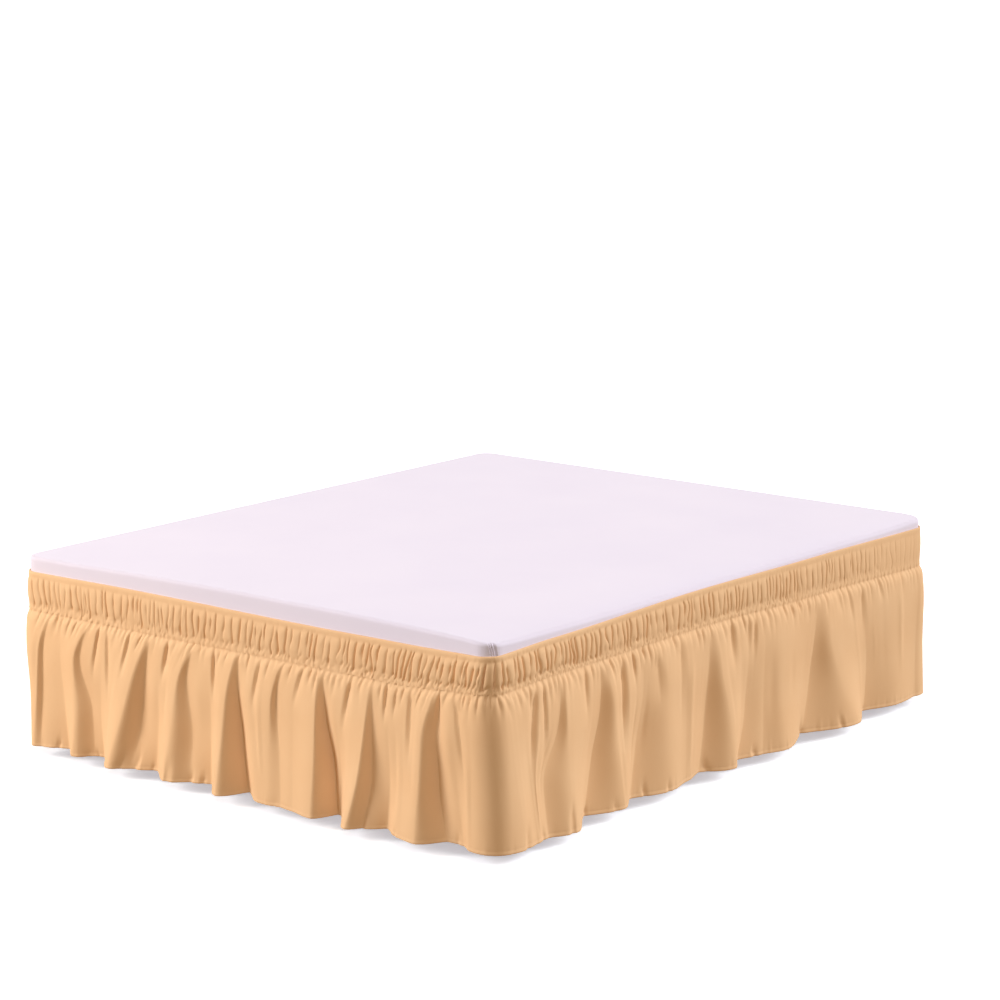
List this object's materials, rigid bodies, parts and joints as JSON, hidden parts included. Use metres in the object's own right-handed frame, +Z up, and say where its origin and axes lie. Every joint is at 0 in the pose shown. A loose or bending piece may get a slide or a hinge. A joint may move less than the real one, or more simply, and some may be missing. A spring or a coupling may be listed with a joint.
{
  "type": "bed skirt on a bed",
  "caption": "Gathered wrap-round bed skirt with a puckered elastic heading band and a folded ruffle, on a plain mattress and slatted base.",
  "frame": {"origin": "on the floor under the middle of the bed", "axes": "+Z up, +Y towards the head of the bed, +X towards the right side as seen from the foot"},
  "size_m": [1.702, 2.072, 0.545],
  "materials": {
    "skirt_cloth": "plain-woven brushed cloth, apricot beige, matt",
    "mattress_cover": "smooth woven cover, cool white, matt",
    "base_pine": "planed softwood, clear satin"
  },
  "bodies": {
    "root": {"heading_band": "skirt_cloth", "ruffle": "skirt_cloth", "mattress": "mattress_cover", "leg_foot_left": "base_pine", "leg_foot_right": "base_pine", "leg_head_left": "base_pine", "leg_head_right": "base_pine", "middle_leg": "base_pine", "side_rail_left": "base_pine", "side_rail_right": "base_pine", "end_rail_foot": "base_pine", "end_rail_head": "base_pine", "middle_rail": "base_pine", "slat_01": "base_pine", "slat_02": "base_pine", "slat_03": "base_pine", "slat_04": "base_pine", "slat_05": "base_pine", "slat_06": "base_pine", "slat_07": "base_pine", "slat_08": "base_pine", "slat_09": "base_pine", "slat_10": "base_pine", "slat_11": "base_pine"}
  },
  "joints": []
}
